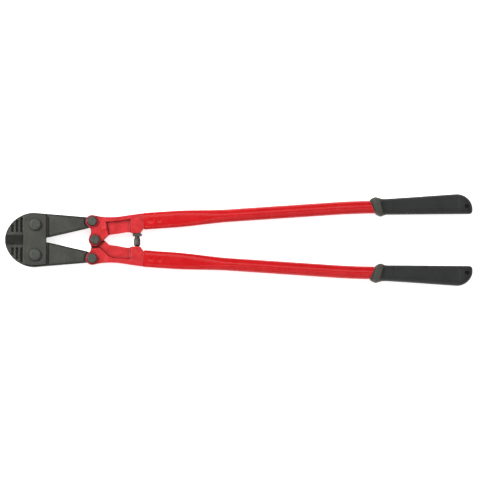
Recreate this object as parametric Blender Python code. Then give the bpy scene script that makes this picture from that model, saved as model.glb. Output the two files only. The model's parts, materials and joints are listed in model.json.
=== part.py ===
"""Bolt cutters, 36 inch class, lying flat and closed.

X runs from the jaws (-X) to the grips (+X), Y across the tool and Z up. The origin is the middle of
the tool's box, on the surface that it lies on. Shapes are drawn in millimetres on the tool's own
drawing: a station is the distance back from the jaw tips, and an offset is the distance from the
centre line. The upper half is drawn, and the lower half is the same part turned over.
"""

import math

import bmesh
import bpy
from mathutils import Matrix

MM = 0.001

# Whole tool
LENGTH = 915.0
MID_HEIGHT = 22.8  # height of the tool's middle plane above the surface
GAP = 0.3  # between pieces that touch
HALF_GAP = GAP / 2

# Pivots, as (station, offset)
JAW_PIVOT = (59.5, 29.5)
LINK_PIVOT = (170.5, 36.5)
CENTRE_PIVOT = (176.3, 0.0)

# Motion: each handle opens this far, and each jaw turns with it in a fixed ratio
HANDLE_OPENING = 60.0

# Jaws
JAW_HALF_THICK = 7.0
NOSE_LENGTH = 56.0
NOSE_HALF_WIDTH = 53.1
NOSE_POWER = 1.9
BACK_SLOPE = -0.0835  # outer edge of the jaw behind the nose
EDGE_LAND = 0.4  # half thickness of the cutting edge
EDGE_BEVEL = 10.1
EDGE_END = 47.0
ROLL_ANGLE = 12.6  # the jaws roll on each other through this angle
TAIL_GAP = (85.2, 5.1)  # where the tail's inner edge starts
TAIL_SLOPE = 0.228
TAIL_END = 159.5
EYE_RADIUS = 10.5
EYE_HALF_THICK = 5.0
SPOT_RADIUS = 15.5
RELIEF_START, RELIEF_END = 80.6, 87.2  # groove behind the side plates
RELIEF_DEPTH = 3.2
RIB_SLOTS = (15.5, 24.5, 33.0)  # stations of the slots in the nose
RIB_SLOT_WIDTH = 5.0
RIB_SLOT_START = 15.0
RIB_SLOT_INSET = 5.0

# Side plates
PLATE_START, PLATE_END = 36.5, 81.0
PLATE_THICK = 5.8
PLATE_INSET = 3.2
PLATE_CORNER = 3.0

# Levers
LEVER_HALF_THICK = 11.0
EAR_RADIUS = 12.1
LUG_RADIUS = 12.6
WAIST_RADIUS = 14.0
CROTCH_ANGLE = 52.0  # slope of the lug's rear edge
SLOT_RADIUS = 13.0
SLOT_HALF_WIDTH = 5.3
BACK_RADIUS = 167.0  # hollow of the lever's outer edge
BACK_LOW = (206.0, 44.45)
BACK_STRAIGHT = 238.0
BOSS_FACE = 13.0
LEVER_END = 271.6
LAP_LINE = 16.2
LAP_CLEARANCE = 0.6  # round the other lever's lug
POCKET_DEPTH = 5.0
POCKET_DRAFT = 2.2

# Handle tubes
TUBE_START = 272.0
TUBE_END = 888.0
TUBE_OFFSET = 36.6
TUBE_ANGLE = 3.83
BEND_START, BEND_END = 640.0, 740.0
TUBE_RADIUS = 12.7
TUBE_WALL = 2.3
SOCKET_HALF_WIDTH = 16.5
SOCKET_HALF_THICK = 10.5
SOCKET_POWER = 4.0
SOCKET_END, ROUND_START = 328.0, 441.0
TANG_END = 326.0
TANG_CLEARANCE = 0.4
CRIMPS = ((285.5, 4.4), (301.5, 3.4))  # station and radius of each crimp
CRIMP_DEPTH = 1.4

# Grips
RIM_STATION = 719.4
COLLAR_STATION = 730.5
GRIP_START = 752.0
GRIP_TIP = 915.0
GRIP_INNER = 49.6
GRIP_OUTER = 80.7
GRIP_FLARE = 0.0695  # how fast the outer edge widens
COLLAR_HALF_THICK = 18.6
GRIP_HALF_THICK = 15.0
TIP_CENTRE = (884.0, 60.0)
HEEL_RADIUS = 6.5
RECESS = (904.0, 65.0)  # moulded recess in each face of the tip
RECESS_RADIUS, RECESS_DEPTH = 3.8, 7.0

# Fasteners: shank radius, hexagon width across flats, head height, nut height
JAW_SHANK, JAW_HEAD_RADIUS, JAW_HEAD_HEIGHT = 7.0, 11.2, 5.8
JAW_NUT_FLATS, JAW_NUT_HEIGHT = 22.0, 7.0
LINK_SHANK, LINK_FLATS, LINK_HEAD_HEIGHT, LINK_NUT_HEIGHT = 5.0, 17.0, 5.6, 7.0
CENTRE_FLATS = 16.0
WASHER_THICK = 1.7
BOLT_END_STANDS = 0.4
FIT = 0.25  # radial clearance of a shank in its hole

# Stop screw, which sets where the handles meet
STOP_STATION = 258.9
STOP_SHANK = 4.9
STOP_NUT_FLATS, STOP_NUT_HEIGHT = 16.0, 5.4
STOP_NECK_END = 2.6  # offset where the head starts
STOP_HEAD_RADIUS = 6.7
STOP_INNER_END = 34.0
STOP_BORE_END = 41.0

ROUND_STEPS = 28
FINE_STEPS = 12


# ---------------------------------------------------------------- scene and materials

def clear_scene():
    for item in list(bpy.data.objects):
        bpy.data.objects.remove(item)


def material(name, colour, roughness, metallic):
    made = bpy.data.materials.new(name)
    made.use_nodes = True
    shader = made.node_tree.nodes["Principled BSDF"]
    shader.inputs["Base Color"].default_value = (*colour, 1.0)
    shader.inputs["Roughness"].default_value = roughness
    shader.inputs["Metallic"].default_value = metallic
    return made


def pivot(name, point, parent=None):
    """An empty on a joint's axis. The pieces of the body that turns there are its children."""
    empty = bpy.data.objects.new(name, None)
    bpy.context.scene.collection.objects.link(empty)
    station, offset = point
    place = Matrix.Translation(((station - LENGTH / 2) * MM, offset * MM, MID_HEIGHT * MM))
    if parent:
        empty.parent = parent
        place = world_of(parent).inverted() @ place
    empty.matrix_basis = place
    return empty


def world_of(item):
    """World matrix from the chain of parents, without waiting for Blender to evaluate it."""
    place = item.matrix_basis
    while item.parent:
        item = item.parent
        place = item.matrix_basis @ place
    return place


def piece(name, shape, surface, parent, point=None, turned_over=False):
    """A node: the shape, drawn about the drawing's zero, with its origin moved to the given point."""
    mesh = bpy.data.meshes.new(name)
    shape.to_mesh(mesh)
    shape.free()
    mesh.transform(Matrix.Scale(MM, 4))
    station, offset = point or (0.0, 0.0)
    side = -1 if turned_over else 1
    mesh.transform(Matrix.Translation((-station * MM, -offset * MM, 0)))
    mesh.materials.append(surface)
    mesh.shade_smooth()
    mesh.set_sharp_from_angle(angle=math.radians(32))
    item = bpy.data.objects.new(name, mesh)
    bpy.context.scene.collection.objects.link(item)
    item.parent = parent
    drawn_at = Matrix.Translation(
        ((station - LENGTH / 2) * MM, side * offset * MM, MID_HEIGHT * MM)
    )
    turn = Matrix.Rotation(math.pi, 4, "X") if turned_over else Matrix.Identity(4)
    item.matrix_basis = world_of(parent).inverted() @ drawn_at @ turn
    return item


# ---------------------------------------------------------------- drawing tools

def arc(centre, radius, start, end, steps=FINE_STEPS):
    """Points on an arc, with angles in degrees."""
    points = []
    for i in range(steps + 1):
        angle = math.radians(start + (end - start) * i / steps)
        points.append((centre[0] + radius * math.cos(angle), centre[1] + radius * math.sin(angle)))
    return points


def circle(centre, radius, steps=ROUND_STEPS):
    return arc(centre, radius, 0, 360, steps)[:-1]


def hexagon(flats):
    return circle((0, 0), flats / 2 / math.cos(math.radians(30)), 6)


def angle_to(start, end):
    return math.degrees(math.atan2(end[1] - start[1], end[0] - start[0]))


def tangent_angle(point, centre, radius, side):
    """Angle, seen from the centre, where a line from the point touches the circle."""
    reach = math.dist(point, centre)
    return angle_to(centre, point) + side * math.degrees(math.acos(radius / reach))


def offset_outline(outline, distance):
    """The outline moved outwards, corner by corner. It runs anticlockwise."""
    moved = []
    for i, corner in enumerate(outline):
        before, after = outline[i - 1], outline[(i + 1) % len(outline)]
        first = math.radians(angle_to(before, corner) - 90)
        second = math.radians(angle_to(corner, after) - 90)
        middle = (math.cos(first) + math.cos(second), math.sin(first) + math.sin(second))
        share = distance / (1 + math.cos(first - second))
        moved.append((corner[0] + middle[0] * share, corner[1] + middle[1] * share))
    return moved


def superellipse(half_width, half_height, power, steps):
    """Points round a rounded section, from +width towards +height."""
    points = []
    for i in range(steps):
        angle = 2 * math.pi * i / steps
        along, up = math.cos(angle), math.sin(angle)
        points.append((
            math.copysign(abs(along) ** (2 / power), along) * half_width,
            math.copysign(abs(up) ** (2 / power), up) * half_height,
        ))
    return points


def smooth_share(value, start, end):
    share = min(1.0, max(0.0, (value - start) / (end - start)))
    return share * share * (3 - 2 * share)


# ---------------------------------------------------------------- solids

def loft(rings):
    """A closed solid through rings of points, each with the same number of points."""
    shape = bmesh.new()
    rows = [[shape.verts.new(point) for point in ring] for ring in rings]
    count = len(rows[0])
    for low, high in zip(rows, rows[1:]):
        for i in range(count):
            j = (i + 1) % count
            shape.faces.new((low[i], low[j], high[j], high[i]))
    shape.faces.new(rows[0][::-1])
    shape.faces.new(rows[-1])
    bmesh.ops.recalc_face_normals(shape, faces=shape.faces)
    return shape


def prism(outline, low, high, top_outline=None):
    """An outline raised from one height to another, or drawn out to a second outline."""
    top_outline = top_outline or outline
    return loft([[(x, y, low) for x, y in outline], [(x, y, high) for x, y in top_outline]])


def turned(profile, centre=(0.0, 0.0), steps=ROUND_STEPS):
    """A solid turned about an upright axis from (radius, height) points, solid to the axis."""
    rings = []
    for radius, height in profile:
        rings.append([(x, y, height) for x, y in circle(centre, radius, steps)])
    return loft(rings)


def ring_solid(outer, inner, low, high, steps=ROUND_STEPS):
    """A flat ring."""
    shape = bmesh.new()
    rows = []
    for radius, height in ((outer, low), (outer, high), (inner, high), (inner, low)):
        rows.append([shape.verts.new((x, y, height)) for x, y in circle((0, 0), radius, steps)])
    for first, second in zip(rows, rows[1:] + rows[:1]):
        for i in range(steps):
            j = (i + 1) % steps
            shape.faces.new((first[i], first[j], second[j], second[i]))
    bmesh.ops.recalc_face_normals(shape, faces=shape.faces)
    return shape


def combine(shape, tools, operation="DIFFERENCE"):
    """The shape with each tool cut from it, joined to it or crossed with it. The tools are used up."""
    body = loose_object(shape)
    helpers = [loose_object(tool) for tool in tools]
    for helper in helpers:
        step = body.modifiers.new("step", "BOOLEAN")
        step.operation = operation
        step.object = helper
    bpy.context.view_layer.update()
    graph = bpy.context.evaluated_depsgraph_get()
    mesh = bpy.data.meshes.new_from_object(body.evaluated_get(graph))
    made = bmesh.new()
    made.from_mesh(mesh)
    bmesh.ops.remove_doubles(made, verts=made.verts, dist=1e-4)
    for helper in [body, *helpers]:
        bpy.data.objects.remove(helper)
    return made


def loose_object(shape):
    mesh = bpy.data.meshes.new("shape")
    shape.to_mesh(mesh)
    shape.free()
    item = bpy.data.objects.new("shape", mesh)
    bpy.context.scene.collection.objects.link(item)
    return item


def moved(shape, place):
    bmesh.ops.transform(shape, matrix=place, verts=shape.verts)
    return shape


def both_faces(build):
    """A tool for the top face and its copy for the bottom face."""
    return [build(), mirrored(build())]


def mirrored(shape):
    """The shape reflected in the middle plane, with its faces still pointing out."""
    moved(shape, Matrix.Scale(-1, 4, (0, 0, 1)))
    bmesh.ops.reverse_faces(shape, faces=shape.faces)
    return shape


# ---------------------------------------------------------------- jaws

def nose_offset(station):
    """Half width of the closed head over the nose."""
    back = max(0.0, 1 - station / NOSE_LENGTH)
    return NOSE_HALF_WIDTH * (1 - back ** NOSE_POWER) ** (1 / NOSE_POWER)


def back_offset(station):
    """Half width of the closed head behind the nose."""
    return NOSE_HALF_WIDTH + BACK_SLOPE * (station - NOSE_LENGTH - 2)


def jaw_outline():
    """The upper jaw, anticlockwise from the tip of its cutting edge."""
    points = [(0.0, HALF_GAP)]
    points += arc(JAW_PIVOT, JAW_PIVOT[1] - HALF_GAP, -90, -90 + ROLL_ANGLE, 4)
    points.append(TAIL_GAP)
    inner_end = (TAIL_END - 2, TAIL_GAP[1] + TAIL_SLOPE * (TAIL_END - 2 - TAIL_GAP[0]))
    outer_end = (TAIL_END, back_offset(TAIL_END))
    points.append(inner_end)
    start = tangent_angle(inner_end, LINK_PIVOT, EYE_RADIUS, 1)
    end = tangent_angle(outer_end, LINK_PIVOT, EYE_RADIUS, -1)
    points += arc(LINK_PIVOT, EYE_RADIUS, start, end, 14)
    points.append(outer_end)
    points.append((NOSE_LENGTH + 2, NOSE_HALF_WIDTH))
    nose_steps = 16
    for i in range(nose_steps):
        station = NOSE_LENGTH * (1 - math.sin(math.pi / 2 * i / nose_steps))
        points.append((station, nose_offset(station)))
    return points


def edge_tool():
    """Cuts the slope down to the cutting edge from the top face."""
    reach = 3.0
    slope = (JAW_HALF_THICK - EDGE_LAND) / (EDGE_BEVEL - HALF_GAP)
    section = [
        (HALF_GAP - reach, EDGE_LAND - reach * slope),
        (EDGE_BEVEL + reach, JAW_HALF_THICK + reach * slope),
        (HALF_GAP - reach, JAW_HALF_THICK + reach * slope),
    ]
    return loft([[(station, y, z) for y, z in section] for station in (-reach, EDGE_END)])


def relief_tool():
    outline = [(RELIEF_START, -5), (RELIEF_END, -5), (RELIEF_END, 60), (RELIEF_START, 60)]
    return prism(outline, JAW_HALF_THICK - RELIEF_DEPTH, JAW_HALF_THICK + 2)


def rib_slot_tool(station):
    half = RIB_SLOT_WIDTH / 2
    inner = RIB_SLOT_START + half
    outer = nose_offset(station - half) - RIB_SLOT_INSET
    outline = arc((station, inner), half, 180, 360, 6) + arc((station, outer), half, 0, 180, 6)
    floor = offset_outline(outline, -0.6)
    return prism(floor, JAW_HALF_THICK - RELIEF_DEPTH, JAW_HALF_THICK, outline)


def spot_tool():
    return prism(circle(LINK_PIVOT, SPOT_RADIUS, 36), EYE_HALF_THICK, JAW_HALF_THICK + 2)


def upright_hole(point, radius, reach, steps=ROUND_STEPS):
    return prism(circle(point, radius, steps), -reach, reach)


def jaw_shift(opening):
    """How far apart the two jaw bolts' holes would have to be, over their spacing at rest, when the
    handles are opened this many degrees and the jaws turn in the fixed ratio."""
    turn = math.radians(opening)
    swing = math.radians(opening * JAW_RATIO)
    arm = (LINK_PIVOT[0] - CENTRE_PIVOT[0], LINK_PIVOT[1])
    jaw = (JAW_PIVOT[0] - LINK_PIVOT[0], JAW_PIVOT[1] - LINK_PIVOT[1])
    link = arm[0] * math.sin(turn) + arm[1] * math.cos(turn)
    return 2 * (link - jaw[0] * math.sin(swing) + jaw[1] * math.cos(swing) - JAW_PIVOT[1])


def jaw_ratio():
    """Jaw angle over handle angle that brings the linkage back together when it is fully open."""
    turn = math.radians(HANDLE_OPENING)
    arm = (LINK_PIVOT[0] - CENTRE_PIVOT[0], LINK_PIVOT[1])
    jaw = (LINK_PIVOT[0] - JAW_PIVOT[0], LINK_PIVOT[1] - JAW_PIVOT[1])
    rise = JAW_PIVOT[1] - arm[0] * math.sin(turn) - arm[1] * math.cos(turn)
    swing = math.asin(rise / math.hypot(*jaw)) + math.atan2(jaw[1], jaw[0])
    return math.degrees(swing) / HANDLE_OPENING


JAW_RATIO = jaw_ratio()


def open_pivot_hole():
    """The lower jaw's bolt hole, drawn out towards the cutting edge. The linkage is open here."""
    steps = range(int(HANDLE_OPENING) + 1)
    travel = max(jaw_shift(step) for step in steps) + GAP
    drift = max(jaw_shift(step) * math.sin(math.radians(step * JAW_RATIO)) for step in steps)
    radius = JAW_SHANK + FIT + drift / 2
    station, offset = JAW_PIVOT[0] + drift / 2, JAW_PIVOT[1]
    outline = arc((station, offset), radius, 0, 180) + arc((station, offset - travel), radius, 180, 360)
    reach = 2 * JAW_HALF_THICK
    return prism(outline, -reach, reach)


def jaw(pivot_hole):
    tools = both_faces(edge_tool) + both_faces(relief_tool) + both_faces(spot_tool)
    for station in RIB_SLOTS:
        tools += both_faces(lambda: rib_slot_tool(station))
    tools.append(pivot_hole)
    tools.append(upright_hole(LINK_PIVOT, LINK_SHANK + FIT, 2 * JAW_HALF_THICK, 20))
    return combine(prism(jaw_outline(), -JAW_HALF_THICK, JAW_HALF_THICK), tools)


# ---------------------------------------------------------------- side plates

def plate_outline():
    upper = []
    for share in (0.0, 0.3, 0.65, 1.0):
        station = PLATE_START + (NOSE_LENGTH - PLATE_START) * share
        upper.append((station, nose_offset(station) - PLATE_INSET))
    rear = back_offset(PLATE_END) - PLATE_INSET
    corner = (PLATE_END - PLATE_CORNER, rear - PLATE_CORNER)
    upper = arc(corner, PLATE_CORNER, 0, 90, 4) + upper[::-1]
    return [(x, -y) for x, y in upper[::-1]] + upper


def side_plate():
    low = JAW_HALF_THICK + GAP / 2
    plate = prism(plate_outline(), low, low + PLATE_THICK)
    station, offset = JAW_PIVOT
    holes = [
        upright_hole((station, side * offset), JAW_SHANK + FIT, 30)
        for side in (1, -1)
    ]
    return combine(plate, holes)


# ---------------------------------------------------------------- levers

def tube_centre(station):
    """(offset, slope angle in radians) of the tube's centre line."""
    angle = math.radians(TUBE_ANGLE)
    if station <= BEND_START:
        return TUBE_OFFSET + (station - TUBE_START) * math.tan(angle), angle
    share = min(1.0, (station - BEND_START) / (BEND_END - BEND_START))
    start = TUBE_OFFSET + (BEND_START - TUBE_START) * math.tan(angle)
    run = (BEND_END - BEND_START) * math.tan(angle)
    return start + run * (share - share * share / 2), angle * (1 - share)


def along_tube(station, across):
    """The point this far outside the tube's centre line."""
    offset, angle = tube_centre(station)
    return station - across * math.sin(angle), offset + across * math.cos(angle)


def back_arc(start, end, steps):
    """Points on the hollow outer edge of the lever, between two stations."""
    points = []
    for i in range(steps + 1):
        station = start + (end - start) * i / steps
        rise = BACK_RADIUS - math.sqrt(BACK_RADIUS ** 2 - (station - BACK_LOW[0]) ** 2)
        points.append((station, BACK_LOW[1] + rise))
    return points


def waist_centre():
    """Centre of the hollow between the ear and the lug, on the jaw side."""
    to_lug = LUG_RADIUS + WAIST_RADIUS
    to_ear = EAR_RADIUS + WAIST_RADIUS
    apart = math.dist(CENTRE_PIVOT, LINK_PIVOT)
    along = (to_lug ** 2 - to_ear ** 2 + apart ** 2) / (2 * apart)
    aside = math.sqrt(to_lug ** 2 - along ** 2)
    way = math.radians(angle_to(CENTRE_PIVOT, LINK_PIVOT))
    return (
        CENTRE_PIVOT[0] + along * math.cos(way) - aside * math.sin(way),
        CENTRE_PIVOT[1] + along * math.sin(way) + aside * math.cos(way),
    )


def inner_edge():
    """The lever's edge that faces the other lever, from the lug to the rear."""
    crotch = (198.6, 8.0)
    points = arc((crotch[0] + 8.2, crotch[1] - 4.0), 6.0, 90 + CROTCH_ANGLE, 98, 4)
    points += [(220.0, 11.9), (238.0, 14.9), (244.0, 14.9), (249.0, BOSS_FACE)]
    points += [(265.0, BOSS_FACE), along_tube(LEVER_END, -13.6)]
    return points


def lever_outline():
    """The upper lever without its tang, anticlockwise from the rear of the lug."""
    waist = waist_centre()
    points = inner_edge()
    points += [along_tube(LEVER_END, 14.6), along_tube(LEVER_END - 1.6, 15.6)]
    points += back_arc(BACK_STRAIGHT, 188.0, 5)
    ear_start = tangent_angle(points[-1], LINK_PIVOT, EAR_RADIUS, 1)
    points += arc(LINK_PIVOT, EAR_RADIUS, ear_start, angle_to(LINK_PIVOT, waist) + 360)
    points += arc(waist, WAIST_RADIUS, angle_to(waist, LINK_PIVOT), angle_to(waist, CENTRE_PIVOT), 8)[1:-1]
    points += arc(CENTRE_PIVOT, LUG_RADIUS, angle_to(CENTRE_PIVOT, waist), 270 + CROTCH_ANGLE, 16)
    return points


def lap_tool():
    """Removes the lower half of the lug, close round the other lever's lug and its rear edge."""
    outline = [(150, -25), (220.6, -25)]
    outline += arc(CENTRE_PIVOT, LUG_RADIUS + LAP_CLEARANCE, 90 - CROTCH_ANGLE, 76, 6)
    outline += [(179.5, LAP_LINE), (150, LAP_LINE)]
    return prism(outline, -LEVER_HALF_THICK - 2, HALF_GAP)


def clevis_tool():
    """The slot that takes the jaw's tail."""
    outline = arc(LINK_PIVOT, SLOT_RADIUS, -105, 55, 14)
    outline += [(LINK_PIVOT[0] + 8, 60), (140, 60), (140, 13.4)]
    return prism(outline, -SLOT_HALF_WIDTH, SLOT_HALF_WIDTH)


def name_pocket_tool():
    """The four-sided pocket in the outer face, open towards the other lever."""
    floor = [(205.5, 2), (246.0, 2), (244.0, 38.4), (222.0, 35.0), (200.0, 33.4)]
    return prism(
        floor, LEVER_HALF_THICK - POCKET_DEPTH, LEVER_HALF_THICK + 0.1,
        offset_outline(floor, POCKET_DRAFT),
    )


def lap_pocket_tool():
    """The pocket in the inner face, which runs on from the lap."""
    floor = [(178, -4), (246.2, -4), (244, 36.4), (212, 34.2), (206, 31.6), (186.5, 14), (178, 14)]
    return mirrored(prism(
        floor, LEVER_HALF_THICK - POCKET_DEPTH, LEVER_HALF_THICK + 0.1,
        offset_outline(floor, POCKET_DRAFT),
    ))


def tube_ring(station, half_width, half_thick, power, steps):
    """A section of the handle tube, square to its centre line."""
    ring = []
    for across, up in superellipse(half_width, half_thick, power, steps):
        ring.append((*along_tube(station, across), up))
    return ring


def tang():
    """The tongue that fills the end of the tube."""
    half_width = SOCKET_HALF_WIDTH - TUBE_WALL - TANG_CLEARANCE
    half_thick = SOCKET_HALF_THICK - TUBE_WALL - TANG_CLEARANCE
    rings = []
    for station in (LEVER_END - 6, SOCKET_END - 8, TANG_END):
        taper = 0.75 if station == TANG_END else 1.0
        rings.append(tube_ring(station, half_width * taper, half_thick * taper, SOCKET_POWER, 20))
    return loft(rings)


def across_hole(low, high, radius, steps=20):
    """A hole along Y at the stop screw's station."""
    rings = []
    for offset in (low, high):
        rings.append([(STOP_STATION + x, offset, z) for x, z in circle((0, 0), radius, steps)])
    return loft(rings)


def lever(stop_bore):
    blank = prism(lever_outline(), -LEVER_HALF_THICK, LEVER_HALF_THICK)
    blank = combine(blank, [tang()], "UNION")
    tools = [lap_tool(), clevis_tool(), name_pocket_tool(), lap_pocket_tool()]
    for point in (LINK_PIVOT, CENTRE_PIVOT):
        tools.append(upright_hole(point, LINK_SHANK + FIT, 2 * LEVER_HALF_THICK, 20))
    if stop_bore:
        tools.append(across_hole(BOSS_FACE - 5, STOP_BORE_END, STOP_SHANK + FIT))
    return combine(blank, tools)


# ---------------------------------------------------------------- handles and grips

def tube_section(station):
    """(half width, half thickness, power) of the tube's outside."""
    share = smooth_share(station, SOCKET_END, ROUND_START)
    return (
        SOCKET_HALF_WIDTH + (TUBE_RADIUS - SOCKET_HALF_WIDTH) * share,
        SOCKET_HALF_THICK + (TUBE_RADIUS - SOCKET_HALF_THICK) * share,
        SOCKET_POWER + (2.0 - SOCKET_POWER) * share,
    )


def tube_stations():
    blend = [SOCKET_END + (ROUND_START - SOCKET_END) * i / 5 for i in range(6)]
    bend = [BEND_START + (BEND_END - BEND_START) * i / 4 for i in range(5)]
    return [TUBE_START, *blend, *bend, TUBE_END]


def tube_wall(station, inset, steps=20):
    half_width, half_thick, power = tube_section(station)
    return tube_ring(station, half_width - inset, half_thick - inset, power, steps)


def handle_tube():
    """The tube, open at both ends, with two crimps pressed into each flat side."""
    outside = loft([tube_wall(station, 0.0) for station in tube_stations()])
    stations = tube_stations()
    stations[0] -= 2
    stations[-1] += 2
    inside = loft([tube_wall(station, TUBE_WALL) for station in stations])
    tube = combine(outside, [inside])
    crimps = []
    for station, radius in CRIMPS:
        centre = along_tube(station, 0)
        profile = [(radius * 0.45, SOCKET_HALF_THICK - CRIMP_DEPTH), (radius, SOCKET_HALF_THICK + 0.2)]
        crimps += both_faces(lambda: turned(profile, centre, 12))
    return combine(tube, crimps)


def grip_edges(station):
    """(inner offset, outer offset) of the grip behind its collar."""
    inner = GRIP_INNER + (station - GRIP_START) * 0.008
    outer = GRIP_OUTER + (station - GRIP_START) * GRIP_FLARE
    reach_out = GRIP_TIP - TIP_CENTRE[0]
    if station > TIP_CENTRE[0]:
        share = min(1.0, (station - TIP_CENTRE[0]) / reach_out)
        full = GRIP_OUTER + (TIP_CENTRE[0] - GRIP_START) * GRIP_FLARE - TIP_CENTRE[1]
        outer = TIP_CENTRE[1] + full * math.sqrt(1 - share * share)
    heel = GRIP_TIP - HEEL_RADIUS
    if station > heel:
        share = min(1.0, (station - heel) / HEEL_RADIUS)
        inner += HEEL_RADIUS * (1 - math.sqrt(1 - share * share))
    return inner, outer


def grip_ring(station, inner, outer, half_thick, lean, power, steps=24):
    """A section of the grip. lean moves it back along the tool towards the inner edge."""
    middle, half = (inner + outer) / 2, (outer - inner) / 2
    ring = []
    for across, up in superellipse(half, half_thick, power, steps):
        ring.append((station - lean * across, middle + across, up))
    return ring


def recess_tool():
    share = (RECESS[0] - 892.0) / (GRIP_TIP - 891.6)
    face = 0.9 * GRIP_HALF_THICK * (1 - share ** 3) ** 0.5
    return prism(circle(RECESS, RECESS_RADIUS, 16), face - RECESS_DEPTH, face + 5)


def grip():
    """The moulded sleeve: a leaning collar, a body that widens and a rounded tip."""
    rings = [
        grip_ring(RIM_STATION, 50.2, 77.9, 14.8, 0.42, 2.0),
        grip_ring(RIM_STATION + 1.6, 48.9, 79.4, 16.5, 0.40, 2.1),
        grip_ring(COLLAR_STATION - 6.3, 47.2, 81.9, COLLAR_HALF_THICK, 0.33, 2.4),
        grip_ring(COLLAR_STATION, 45.7, 84.4, COLLAR_HALF_THICK, 0.27, 2.4),
        grip_ring(COLLAR_STATION + 5.5, 47.5, 82.5, COLLAR_HALF_THICK, 0.24, 2.5),
        grip_ring(COLLAR_STATION + 10.5, 49.2, 80.8, GRIP_HALF_THICK + 0.5, 0.22, 2.6),
        grip_ring(GRIP_START, GRIP_INNER, GRIP_OUTER, GRIP_HALF_THICK, 0.16, 2.8),
    ]
    for station in (785.0, 835.0, TIP_CENTRE[0], 893.0, 900.0, 905.5, 909.5, 912.3, 914.2, GRIP_TIP):
        inner, outer = grip_edges(station)
        share = max(0.0, (station - 892.0) / (GRIP_TIP - 891.6))
        half_thick = GRIP_HALF_THICK * (1 - share ** 3) ** 0.5 * (1 - 0.1 * smooth_share(station, 800, 890))
        rings.append(grip_ring(station, inner, outer, half_thick, 0.0, 3.0))
    tube_bore = loft([
        tube_ring(station, TUBE_RADIUS + GAP, TUBE_RADIUS + GAP, 2.0, 20)
        for station in (695.0, 708.0, 722.0, BEND_END, TUBE_END + 1)
    ])
    return combine(loft(rings), [tube_bore, *both_faces(recess_tool)])


# ---------------------------------------------------------------- fasteners

def chamfered_hexagon(flats, low, high, chamfer_low, chamfer_high):
    """A hexagon with its corners turned down where a chamfer is asked for."""
    corner = flats / 2 / math.cos(math.radians(30))
    inner = flats / 2 * 0.98
    drop = (corner - inner) * 0.55
    profile = []
    profile += [(inner, low), (corner + 0.2, low + drop)] if chamfer_low else [(corner + 0.2, low - 1)]
    profile += [(corner + 0.2, high - drop), (inner, high)] if chamfer_high else [(corner + 0.2, high + 1)]
    return combine(prism(hexagon(flats), low, high), [turned(profile, steps=24)], "INTERSECT")


def hex_bolt(flats, head_low, head_height, shank, end):
    """A bolt with its head up, along Z on the drawing's zero."""
    head = chamfered_hexagon(flats, head_low, head_low + head_height, False, True)
    shank_part = turned([(shank - 0.8, end), (shank, end + 0.8), (shank, head_low + 2)], steps=20)
    return combine(head, [shank_part], "UNION")


def round_bolt():
    """The jaw bolt: a round, slightly crowned head on a plain shank."""
    low = JAW_HALF_THICK + PLATE_THICK + GAP
    end = -(low + WASHER_THICK + JAW_NUT_HEIGHT + 2 * GAP + BOLT_END_STANDS)
    head = turned([
        (JAW_HEAD_RADIUS, low),
        (JAW_HEAD_RADIUS, low + JAW_HEAD_HEIGHT - 1.2),
        (JAW_HEAD_RADIUS - 1.0, low + JAW_HEAD_HEIGHT - 0.3),
        (JAW_HEAD_RADIUS - 4.0, low + JAW_HEAD_HEIGHT),
    ])
    shank = turned([(JAW_SHANK - 1, end), (JAW_SHANK, end + 1), (JAW_SHANK, low + 2)], steps=24)
    return combine(head, [shank], "UNION")


def nut(flats, shank, low, height):
    body = chamfered_hexagon(flats, low, low + height, True, True)
    return combine(body, [prism(circle((0, 0), shank + FIT, 20), low - 2, low + height + 2)])


def split_washer(shank, high):
    """A spring washer with its split."""
    low = high - WASHER_THICK
    ring = ring_solid(shank + 3.2, shank + FIT, low, high, 24)
    split = prism([(shank - 1, -0.7), (shank + 5, -0.1), (shank + 5, 1.3), (shank - 1, 0.7)], low - 1, high + 1)
    return combine(ring, [split])


def stop_screw():
    """The set screw between the handles: thread in the upper lever, domed head on the lower."""
    foot = -BOSS_FACE + GAP
    profile = [
        (STOP_SHANK - 0.8, STOP_INNER_END),
        (STOP_SHANK, STOP_INNER_END - 1.0),
        (STOP_SHANK, STOP_NECK_END + 1.2),
        (STOP_HEAD_RADIUS - 0.9, STOP_NECK_END),
        (STOP_HEAD_RADIUS, STOP_NECK_END - 2.5),
        (STOP_HEAD_RADIUS, foot + 3.4),
        (STOP_HEAD_RADIUS - 1.4, foot + 1.2),
        (3.4, foot),
    ]
    rings = []
    for radius, offset in profile:
        rings.append([(STOP_STATION + x, offset, z) for x, z in circle((0, 0), radius, 20)])
    return loft(rings)


def stop_nut():
    high = BOSS_FACE - GAP
    shape = nut(STOP_NUT_FLATS, STOP_SHANK, high - STOP_NUT_HEIGHT, STOP_NUT_HEIGHT)
    return moved(shape, Matrix.Translation((STOP_STATION, 0, 0)) @ Matrix.Rotation(-math.pi / 2, 4, "X"))


def fastener_at(point, build, name, surface, parent):
    """A fastener drawn on the drawing's zero, put on an upright axis."""
    shape = moved(build(), Matrix.Translation((*point, 0)))
    return piece(name, shape, surface, parent, point)


def link_set(name, point, flats, surface, parent):
    """Bolt, spring washer and nut through the levers."""
    top = LEVER_HALF_THICK + GAP / 2
    washer_low = -top - WASHER_THICK
    nut_low = washer_low - HALF_GAP - LINK_NUT_HEIGHT
    end = nut_low - BOLT_END_STANDS
    fastener_at(
        point, lambda: hex_bolt(flats, top, LINK_HEAD_HEIGHT, LINK_SHANK, end),
        name + "_bolt", surface, parent,
    )
    fastener_at(point, lambda: split_washer(LINK_SHANK, -top), name + "_washer", surface, parent)
    fastener_at(
        point, lambda: nut(flats, LINK_SHANK, nut_low, LINK_NUT_HEIGHT), name + "_nut", surface, parent,
    )


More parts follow.
